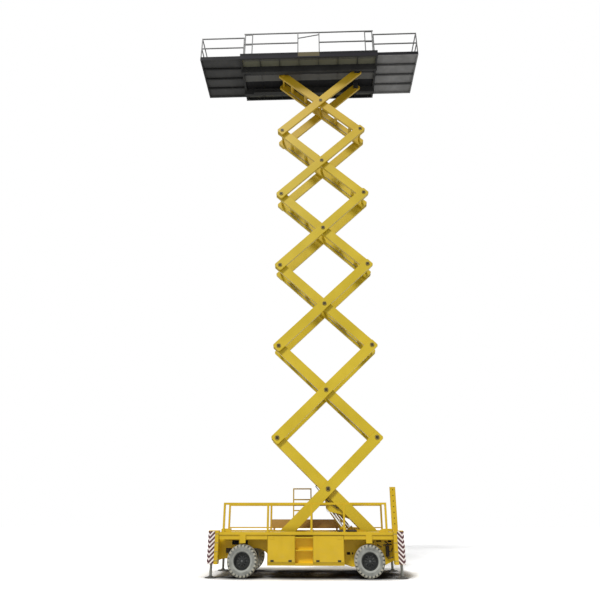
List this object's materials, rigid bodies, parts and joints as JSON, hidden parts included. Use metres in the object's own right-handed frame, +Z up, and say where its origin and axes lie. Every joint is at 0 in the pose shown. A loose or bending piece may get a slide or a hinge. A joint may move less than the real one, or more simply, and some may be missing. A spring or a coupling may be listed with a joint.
{
  "type": "scissor lift",
  "caption": "Rough-terrain scissor lift with a six-level arm stack, an extending railed platform, wheels and corner jacks.",
  "frame": {"origin": "on the ground under the middle of the platform", "axes": "+Z up, X along the machine with the steered wheels at +X, Y across it with the platform's gate at -Y"},
  "size_m": [9.6, 2.5, 21.6826],
  "materials": {
    "arm_yellow": "satin",
    "body_yellow": "satin",
    "platform_grey": "satin",
    "rail_grey": "satin",
    "tyre_grey": "matte",
    "rim_grey": "satin",
    "bare_steel": "satin",
    "chrome": "polished",
    "warning_white": "gloss",
    "dark_steel": "rough"
  },
  "bodies": {
    "chassis": {"main_frame": "body_yellow", "side_girders": "body_yellow", "base_tracks": "body_yellow", "cross_beams": "body_yellow", "arm_pivots": "body_yellow", "cylinder_mounts": "body_yellow", "upper_deck": "body_yellow", "guard_frames": "body_yellow", "access_ladder": "body_yellow", "side_board": "body_yellow", "near_cabinet": "body_yellow", "far_cabinet": "body_yellow", "engine_block": "dark_steel", "left_axle": "dark_steel", "right_axle": "dark_steel", "jack_columns": "body_yellow", "warning_plates": "warning_white", "guide_post": "body_yellow"},
    "near_left_door": {"near_left_door": "body_yellow"},
    "near_right_door": {"near_right_door": "body_yellow"},
    "far_left_door": {"far_left_door": "body_yellow"},
    "far_right_door": {"far_right_door": "body_yellow"},
    "near_knuckle": {"near_knuckle": "dark_steel"},
    "far_knuckle": {"far_knuckle": "dark_steel"},
    "near_left_wheel": {"near_left_tyre": "tyre_grey", "near_left_rim": "rim_grey"},
    "near_right_wheel": {"near_right_tyre": "tyre_grey", "near_right_rim": "rim_grey"},
    "far_left_wheel": {"far_left_tyre": "tyre_grey", "far_left_rim": "rim_grey"},
    "far_right_wheel": {"far_right_tyre": "tyre_grey", "far_right_rim": "rim_grey"},
    "near_left_jack": {"near_left_jack_leg": "bare_steel"},
    "near_right_jack": {"near_right_jack_leg": "bare_steel"},
    "far_left_jack": {"far_left_jack_leg": "bare_steel"},
    "far_right_jack": {"far_right_jack_leg": "bare_steel"},
    "inner_arm_1": {"inner_arm_1": "arm_yellow"},
    "outer_arm_1": {"outer_arm_1": "arm_yellow"},
    "inner_arm_2": {"inner_arm_2": "arm_yellow"},
    "outer_arm_2": {"outer_arm_2": "arm_yellow"},
    "inner_arm_3": {"inner_arm_3": "arm_yellow"},
    "outer_arm_3": {"outer_arm_3": "arm_yellow"},
    "inner_arm_4": {"inner_arm_4": "arm_yellow"},
    "outer_arm_4": {"outer_arm_4": "arm_yellow"},
    "inner_arm_5": {"inner_arm_5": "arm_yellow"},
    "outer_arm_5": {"outer_arm_5": "arm_yellow"},
    "inner_arm_6": {"inner_arm_6": "arm_yellow"},
    "outer_arm_6": {"outer_arm_6": "arm_yellow"},
    "platform": {"platform_frame": "platform_grey", "main_rails": "rail_grey"},
    "gate": {"gate_bar": "rail_grey"},
    "left_extension": {"left_extension_deck": "platform_grey", "left_extension_rails": "rail_grey"},
    "right_extension": {"right_extension_deck": "platform_grey", "right_extension_rails": "rail_grey"},
    "near_barrel": {"near_lift_barrel": "body_yellow"},
    "near_rod": {"near_lift_rod": "chrome"},
    "far_barrel": {"far_lift_barrel": "body_yellow"},
    "far_rod": {"far_lift_rod": "chrome"}
  },
  "joints": [
    {"name": "near_left_hinge", "type": "hinge", "parent": "chassis", "child": "near_left_door", "pos_m": [-1.328, -1.2, 0.7], "axis": [0, 0, -1], "range_deg": [0, 110]},
    {"name": "near_right_hinge", "type": "hinge", "parent": "chassis", "child": "near_right_door", "pos_m": [0.908, -1.2, 0.7], "axis": [0, 0, 1], "range_deg": [0, 110]},
    {"name": "far_left_hinge", "type": "hinge", "parent": "chassis", "child": "far_left_door", "pos_m": [-1.328, 1.2, 0.7], "axis": [0, 0, 1], "range_deg": [0, 110]},
    {"name": "far_right_hinge", "type": "hinge", "parent": "chassis", "child": "far_right_door", "pos_m": [0.908, 1.2, 0.7], "axis": [0, 0, -1], "range_deg": [0, 110]},
    {"name": "near_steer", "type": "hinge", "parent": "chassis", "child": "near_knuckle", "pos_m": [1.665, -0.85, 0.45], "axis": [0, 0, 1], "range_deg": [-25, 25]},
    {"name": "far_steer", "type": "hinge", "parent": "chassis", "child": "far_knuckle", "pos_m": [1.665, 0.85, 0.45], "axis": [0, 0, 1], "range_deg": [-25, 25]},
    {"name": "near_left_spin", "type": "hinge", "parent": "chassis", "child": "near_left_wheel", "pos_m": [-2.085, -1.085, 0.45], "axis": [0, 1, 0], "continuous": true},
    {"name": "near_right_spin", "type": "hinge", "parent": "near_knuckle", "child": "near_right_wheel", "pos_m": [1.665, -1.085, 0.45], "axis": [0, 1, 0], "continuous": true},
    {"name": "far_left_spin", "type": "hinge", "parent": "chassis", "child": "far_left_wheel", "pos_m": [-2.085, 1.085, 0.45], "axis": [0, 1, 0], "continuous": true},
    {"name": "far_right_spin", "type": "hinge", "parent": "far_knuckle", "child": "far_right_wheel", "pos_m": [1.665, 1.085, 0.45], "axis": [0, 1, 0], "continuous": true},
    {"name": "near_left_jack_slide", "type": "slide", "parent": "chassis", "child": "near_left_jack", "axis": [0, 0, 1], "range_m": [0, 0.3]},
    {"name": "near_right_jack_slide", "type": "slide", "parent": "chassis", "child": "near_right_jack", "axis": [0, 0, 1], "range_m": [0, 0.3]},
    {"name": "far_left_jack_slide", "type": "slide", "parent": "chassis", "child": "far_left_jack", "axis": [0, 0, 1], "range_m": [0, 0.3]},
    {"name": "far_right_jack_slide", "type": "slide", "parent": "chassis", "child": "far_right_jack", "axis": [0, 0, 1], "range_m": [0, 0.3]},
    {"name": "lift", "type": "hinge", "parent": "chassis", "child": "inner_arm_1", "pos_m": [2.15, 0, 0.88], "axis": [0, 1, 0], "range_deg": [-39, 6]},
    {"name": "centre_pin_1", "type": "hinge", "parent": "inner_arm_1", "child": "outer_arm_1", "pos_m": [0.49552, 0, 2.47771], "axis": [0, 1, 0], "range_deg": [-12.5, 78.5]},
    {"name": "right_pin_1", "type": "hinge", "parent": "outer_arm_1", "child": "inner_arm_2", "pos_m": [2.15, 0, 4.07543], "axis": [0, 1, 0], "range_deg": [-78.5, 12.5]},
    {"name": "centre_pin_2", "type": "hinge", "parent": "inner_arm_2", "child": "outer_arm_2", "pos_m": [0.49552, 0, 5.67314], "axis": [0, 1, 0], "range_deg": [-12.5, 78.5]},
    {"name": "right_pin_2", "type": "hinge", "parent": "outer_arm_2", "child": "inner_arm_3", "pos_m": [2.15, 0, 7.27086], "axis": [0, 1, 0], "range_deg": [-78.5, 12.5]},
    {"name": "centre_pin_3", "type": "hinge", "parent": "inner_arm_3", "child": "outer_arm_3", "pos_m": [0.49552, 0, 8.86857], "axis": [0, 1, 0], "range_deg": [-12.5, 78.5]},
    {"name": "right_pin_3", "type": "hinge", "parent": "outer_arm_3", "child": "inner_arm_4", "pos_m": [2.15, 0, 10.46629], "axis": [0, 1, 0], "range_deg": [-78.5, 12.5]},
    {"name": "centre_pin_4", "type": "hinge", "parent": "inner_arm_4", "child": "outer_arm_4", "pos_m": [0.49552, 0, 12.064], "axis": [0, 1, 0], "range_deg": [-12.5, 78.5]},
    {"name": "right_pin_4", "type": "hinge", "parent": "outer_arm_4", "child": "inner_arm_5", "pos_m": [2.15, 0, 13.66171], "axis": [0, 1, 0], "range_deg": [-78.5, 12.5]},
    {"name": "centre_pin_5", "type": "hinge", "parent": "inner_arm_5", "child": "outer_arm_5", "pos_m": [0.49552, 0, 15.25943], "axis": [0, 1, 0], "range_deg": [-12.5, 78.5]},
    {"name": "right_pin_5", "type": "hinge", "parent": "outer_arm_5", "child": "inner_arm_6", "pos_m": [2.15, 0, 16.85714], "axis": [0, 1, 0], "range_deg": [-78.5, 12.5]},
    {"name": "centre_pin_6", "type": "hinge", "parent": "inner_arm_6", "child": "outer_arm_6", "pos_m": [0.49552, 0, 18.45486], "axis": [0, 1, 0], "range_deg": [-12.5, 78.5]},
    {"name": "platform_pin", "type": "hinge", "parent": "outer_arm_6", "child": "platform", "pos_m": [2.15, 0, 20.05257], "axis": [0, 1, 0], "range_deg": [-39.5, 6.5]},
    {"name": "gate_hinge", "type": "hinge", "parent": "platform", "child": "gate", "pos_m": [0.47, -1.2, 21.57257], "axis": [0, 1, 0], "range_deg": [0, 70]},
    {"name": "left_extension_slide", "type": "slide", "parent": "platform", "child": "left_extension", "axis": [1, 0, 0], "range_m": [0, 1.7]},
    {"name": "right_extension_slide", "type": "slide", "parent": "platform", "child": "right_extension", "axis": [-1, 0, 0], "range_m": [0, 1.7]},
    {"name": "near_barrel_pin", "type": "hinge", "parent": "chassis", "child": "near_barrel", "pos_m": [1.35, -0.15, 0.75], "axis": [0, 1, 0], "range_deg": [-60.4, 9.7]},
    {"name": "near_rod_slide", "type": "slide", "parent": "near_barrel", "child": "near_rod", "axis": [-0.5873, 0, 0.8094], "range_m": [-0.307, 0.051]},
    {"name": "far_barrel_pin", "type": "hinge", "parent": "chassis", "child": "far_barrel", "pos_m": [1.59, 0.15, 0.8], "axis": [0, 1, 0], "range_deg": [-54.7, 8.8]},
    {"name": "far_rod_slide", "type": "slide", "parent": "far_barrel", "child": "far_rod", "axis": [-0.6378, 0, 0.7702], "range_m": [-0.204, 0.036]}
  ],
  "couplings": [
    {"joint": "far_steer", "follows": "near_steer", "ratio": 1},
    {"joint": "centre_pin_1", "follows": "lift", "ratio": -2},
    {"joint": "right_pin_1", "follows": "lift", "ratio": 2},
    {"joint": "centre_pin_2", "follows": "lift", "ratio": -2},
    {"joint": "right_pin_2", "follows": "lift", "ratio": 2},
    {"joint": "centre_pin_3", "follows": "lift", "ratio": -2},
    {"joint": "right_pin_3", "follows": "lift", "ratio": 2},
    {"joint": "centre_pin_4", "follows": "lift", "ratio": -2},
    {"joint": "right_pin_4", "follows": "lift", "ratio": 2},
    {"joint": "centre_pin_5", "follows": "lift", "ratio": -2},
    {"joint": "right_pin_5", "follows": "lift", "ratio": 2},
    {"joint": "centre_pin_6", "follows": "lift", "ratio": -2},
    {"joint": "platform_pin", "follows": "lift", "ratio": 1},
    {"joint": "near_barrel_pin", "follows": "lift", "ratio": 1.5366},
    {"joint": "near_rod_slide", "follows": "lift", "m_per_rad": 0.4438},
    {"joint": "far_barrel_pin", "follows": "lift", "ratio": 1.3887},
    {"joint": "far_rod_slide", "follows": "lift", "m_per_rad": 0.2918}
  ]
}
